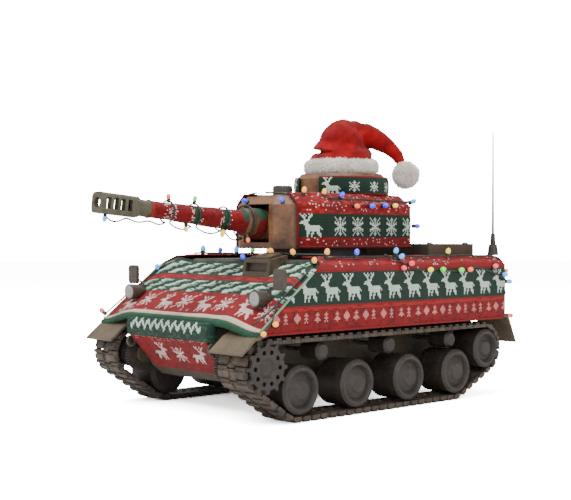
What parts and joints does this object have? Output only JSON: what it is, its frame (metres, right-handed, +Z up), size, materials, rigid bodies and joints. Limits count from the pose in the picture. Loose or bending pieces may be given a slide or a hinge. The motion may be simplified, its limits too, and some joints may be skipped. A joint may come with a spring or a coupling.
{
  "type": "radio controlled tank",
  "caption": "Radio controlled light tank model in a knitted winter cover, with turning turret, tracks, string lights and a soft hat.",
  "frame": {"origin": "middle of the model's footprint, on the ground under the tracks", "axes": "+X forwards along the gun, +Y to the tank's left, +Z up"},
  "size_m": [0.4072, 0.215, 0.258],
  "materials": {
    "hull_plastic": "matte moulded plastic, olive brown",
    "deck_plastic": "matte moulded plastic, dark brown",
    "guard_plastic": "matte moulded plastic, olive brown",
    "wheel_plastic": "matte moulded plastic, weathered dark brown",
    "track_plastic": "matte moulded plastic, weathered dark brown",
    "turret_plastic": "matte painted plastic, tan and brown patches",
    "gun_plastic": "matte painted plastic, grey olive",
    "knit_wool": "knitted wool, red, green and white pattern",
    "hat_felt": "brushed felt, red",
    "hat_plush": "plush, white",
    "lamp_plastic": "matte plastic, dark grey",
    "lens_plastic": "frosted clear plastic",
    "light_wire": "thin insulated wire with coloured lamps",
    "steel": "turned steel",
    "brass": "cut brass",
    "battery_wrap": "shrink wrap, blue",
    "board": "printed circuit board, green",
    "black_plastic": "matte plastic, black",
    "antenna_plastic": "moulded whip, red brown base"
  },
  "bodies": {
    "hull": {"lower_hull": "hull_plastic", "upper_hull": "hull_plastic", "engine_deck": "deck_plastic", "hull_knit_cover": "knit_wool", "mudguards": "guard_plastic", "headlights": "lamp_plastic", "headlight_lenses": "lens_plastic", "driver_hood": "hull_plastic", "tow_hooks": "steel", "battery_pack": "battery_wrap", "control_board": "board", "gear_motors": "steel", "antenna": "antenna_plastic", "hull_light_string": "light_wire", "deck_screws": "steel", "wheel_axles": "steel", "track_left": "track_plastic", "track_right": "track_plastic"},
    "drive_sprocket_left": {"drive_sprocket_left": "wheel_plastic"},
    "road_wheel_left_1": {"road_wheel_left_1": "wheel_plastic"},
    "road_wheel_left_2": {"road_wheel_left_2": "wheel_plastic"},
    "road_wheel_left_3": {"road_wheel_left_3": "wheel_plastic"},
    "road_wheel_left_4": {"road_wheel_left_4": "wheel_plastic"},
    "return_roller_left_1": {"return_roller_left_1": "wheel_plastic"},
    "return_roller_left_2": {"return_roller_left_2": "wheel_plastic"},
    "return_roller_left_3": {"return_roller_left_3": "wheel_plastic"},
    "idler_wheel_left": {"idler_wheel_left": "wheel_plastic"},
    "motor_pinion_left": {"motor_pinion_left": "brass"},
    "drive_sprocket_right": {"drive_sprocket_right": "wheel_plastic"},
    "road_wheel_right_1": {"road_wheel_right_1": "wheel_plastic"},
    "road_wheel_right_2": {"road_wheel_right_2": "wheel_plastic"},
    "road_wheel_right_3": {"road_wheel_right_3": "wheel_plastic"},
    "road_wheel_right_4": {"road_wheel_right_4": "wheel_plastic"},
    "return_roller_right_1": {"return_roller_right_1": "wheel_plastic"},
    "return_roller_right_2": {"return_roller_right_2": "wheel_plastic"},
    "return_roller_right_3": {"return_roller_right_3": "wheel_plastic"},
    "idler_wheel_right": {"idler_wheel_right": "wheel_plastic"},
    "motor_pinion_right": {"motor_pinion_right": "brass"},
    "turret": {"turret_shell": "turret_plastic", "turret_ring_gear": "black_plastic", "vent_cap": "lamp_plastic", "cupola": "turret_plastic", "turret_knit_cover": "knit_wool", "cupola_knit_cover": "knit_wool", "turret_light_string": "light_wire", "elevation_servo": "black_plastic"},
    "traverse_pinion": {"traverse_pinion": "brass"},
    "gun": {"mantlet": "turret_plastic", "gun_barrel": "gun_plastic", "muzzle_brake": "gun_plastic", "barrel_knit_sleeve": "knit_wool", "gun_light_string": "light_wire"},
    "hat": {"hat_brim": "hat_plush", "hat_cone": "hat_felt", "hat_pompom": "hat_plush"},
    "driver_hatch": {"driver_hatch": "hull_plastic"},
    "mirror_left": {"mirror_left": "lamp_plastic"},
    "mirror_right": {"mirror_right": "lamp_plastic"},
    "battery_door": {"battery_door": "hull_plastic"},
    "power_switch": {"power_switch": "black_plastic"}
  },
  "joints": [
    {"name": "left_sprocket_spin", "type": "hinge", "parent": "hull", "child": "drive_sprocket_left", "pos_m": [0.1166, 0.088, 0.047], "axis": [0, 1, 0], "continuous": true},
    {"name": "left_road_wheel_1_spin", "type": "hinge", "parent": "hull", "child": "road_wheel_left_1", "pos_m": [0.0784, 0.088, 0.0266], "axis": [0, 1, 0], "continuous": true},
    {"name": "left_road_wheel_2_spin", "type": "hinge", "parent": "hull", "child": "road_wheel_left_2", "pos_m": [0.0134, 0.088, 0.0266], "axis": [0, 1, 0], "continuous": true},
    {"name": "left_road_wheel_3_spin", "type": "hinge", "parent": "hull", "child": "road_wheel_left_3", "pos_m": [-0.0516, 0.088, 0.0266], "axis": [0, 1, 0], "continuous": true},
    {"name": "left_road_wheel_4_spin", "type": "hinge", "parent": "hull", "child": "road_wheel_left_4", "pos_m": [-0.1166, 0.088, 0.0266], "axis": [0, 1, 0], "continuous": true},
    {"name": "left_roller_1_spin", "type": "hinge", "parent": "hull", "child": "return_roller_left_1", "pos_m": [0.049, 0.088, 0.05537], "axis": [0, 1, 0], "continuous": true},
    {"name": "left_roller_2_spin", "type": "hinge", "parent": "hull", "child": "return_roller_left_2", "pos_m": [-0.033, 0.088, 0.05537], "axis": [0, 1, 0], "continuous": true},
    {"name": "left_roller_3_spin", "type": "hinge", "parent": "hull", "child": "return_roller_left_3", "pos_m": [-0.115, 0.088, 0.05537], "axis": [0, 1, 0], "continuous": true},
    {"name": "left_idler_spin", "type": "hinge", "parent": "hull", "child": "idler_wheel_left", "pos_m": [-0.1598, 0.088, 0.04487], "axis": [0, 1, 0], "continuous": true},
    {"name": "left_motor_pinion_spin", "type": "hinge", "parent": "hull", "child": "motor_pinion_left", "pos_m": [0.0956, 0.088, 0.047], "axis": [0, 1, 0], "continuous": true},
    {"name": "right_sprocket_spin", "type": "hinge", "parent": "hull", "child": "drive_sprocket_right", "pos_m": [0.1166, -0.088, 0.047], "axis": [0, 1, 0], "continuous": true},
    {"name": "right_road_wheel_1_spin", "type": "hinge", "parent": "hull", "child": "road_wheel_right_1", "pos_m": [0.0784, -0.088, 0.0266], "axis": [0, 1, 0], "continuous": true},
    {"name": "right_road_wheel_2_spin", "type": "hinge", "parent": "hull", "child": "road_wheel_right_2", "pos_m": [0.0134, -0.088, 0.0266], "axis": [0, 1, 0], "continuous": true},
    {"name": "right_road_wheel_3_spin", "type": "hinge", "parent": "hull", "child": "road_wheel_right_3", "pos_m": [-0.0516, -0.088, 0.0266], "axis": [0, 1, 0], "continuous": true},
    {"name": "right_road_wheel_4_spin", "type": "hinge", "parent": "hull", "child": "road_wheel_right_4", "pos_m": [-0.1166, -0.088, 0.0266], "axis": [0, 1, 0], "continuous": true},
    {"name": "right_roller_1_spin", "type": "hinge", "parent": "hull", "child": "return_roller_right_1", "pos_m": [0.049, -0.088, 0.05537], "axis": [0, 1, 0], "continuous": true},
    {"name": "right_roller_2_spin", "type": "hinge", "parent": "hull", "child": "return_roller_right_2", "pos_m": [-0.033, -0.088, 0.05537], "axis": [0, 1, 0], "continuous": true},
    {"name": "right_roller_3_spin", "type": "hinge", "parent": "hull", "child": "return_roller_right_3", "pos_m": [-0.115, -0.088, 0.05537], "axis": [0, 1, 0], "continuous": true},
    {"name": "right_idler_spin", "type": "hinge", "parent": "hull", "child": "idler_wheel_right", "pos_m": [-0.1598, -0.088, 0.04487], "axis": [0, 1, 0], "continuous": true},
    {"name": "right_motor_pinion_spin", "type": "hinge", "parent": "hull", "child": "motor_pinion_right", "pos_m": [0.0956, -0.088, 0.047], "axis": [0, 1, 0], "continuous": true},
    {"name": "turret_traverse", "type": "hinge", "parent": "hull", "child": "turret", "pos_m": [-0.04, 0, 0.139], "axis": [0, 0, 1], "range_deg": [-135, 135]},
    {"name": "traverse_pinion_spin", "type": "hinge", "parent": "hull", "child": "traverse_pinion", "pos_m": [0.0005, 0, 0.119], "axis": [0, 0, 1], "range_deg": [-675, 675]},
    {"name": "gun_elevation", "type": "hinge", "parent": "turret", "child": "gun", "pos_m": [0.02, 0, 0.16], "axis": [0, -1, 0], "range_deg": [-8, 10]},
    {"name": "hat_pull_off", "type": "slide", "parent": "turret", "child": "hat", "axis": [0, 0, 1], "range_m": [0, 0.03]},
    {"name": "driver_hatch_hinge", "type": "hinge", "parent": "hull", "child": "driver_hatch", "pos_m": [0.052, 0.04, 0.135], "axis": [0, -1, 0], "range_deg": [0, 75]},
    {"name": "mirror_left_swing", "type": "hinge", "parent": "hull", "child": "mirror_left", "pos_m": [0.097, 0.086, 0.1], "axis": [0, 0, 1], "range_deg": [-30, 8]},
    {"name": "mirror_right_swing", "type": "hinge", "parent": "hull", "child": "mirror_right", "pos_m": [0.097, -0.086, 0.1], "axis": [0, 0, 1], "range_deg": [-8, 30]},
    {"name": "battery_door_hinge", "type": "hinge", "parent": "hull", "child": "battery_door", "pos_m": [-0.1872, 0, 0.047], "axis": [0, -1, 0], "range_deg": [0, 95]},
    {"name": "power_switch_slide", "type": "slide", "parent": "hull", "child": "power_switch", "axis": [0, 0, 1], "range_m": [0, 0.004]}
  ],
  "couplings": [
    {"joint": "left_road_wheel_1_spin", "follows": "left_sprocket_spin", "ratio": 0.96593},
    {"joint": "left_road_wheel_2_spin", "follows": "left_sprocket_spin", "ratio": 0.96593},
    {"joint": "left_road_wheel_3_spin", "follows": "left_sprocket_spin", "ratio": 0.96593},
    {"joint": "left_road_wheel_4_spin", "follows": "left_sprocket_spin", "ratio": 0.96593},
    {"joint": "left_roller_1_spin", "follows": "left_sprocket_spin", "ratio": 2.5758},
    {"joint": "left_roller_2_spin", "follows": "left_sprocket_spin", "ratio": 2.5758},
    {"joint": "left_roller_3_spin", "follows": "left_sprocket_spin", "ratio": 2.5758},
    {"joint": "left_idler_spin", "follows": "left_sprocket_spin", "ratio": 1.0733},
    {"joint": "left_motor_pinion_spin", "follows": "left_sprocket_spin", "ratio": -3},
    {"joint": "right_road_wheel_1_spin", "follows": "right_sprocket_spin", "ratio": 0.96593},
    {"joint": "right_road_wheel_2_spin", "follows": "right_sprocket_spin", "ratio": 0.96593},
    {"joint": "right_road_wheel_3_spin", "follows": "right_sprocket_spin", "ratio": 0.96593},
    {"joint": "right_road_wheel_4_spin", "follows": "right_sprocket_spin", "ratio": 0.96593},
    {"joint": "right_roller_1_spin", "follows": "right_sprocket_spin", "ratio": 2.5758},
    {"joint": "right_roller_2_spin", "follows": "right_sprocket_spin", "ratio": 2.5758},
    {"joint": "right_roller_3_spin", "follows": "right_sprocket_spin", "ratio": 2.5758},
    {"joint": "right_idler_spin", "follows": "right_sprocket_spin", "ratio": 1.0733},
    {"joint": "right_motor_pinion_spin", "follows": "right_sprocket_spin", "ratio": -3},
    {"joint": "traverse_pinion_spin", "follows": "turret_traverse", "ratio": -5}
  ]
}
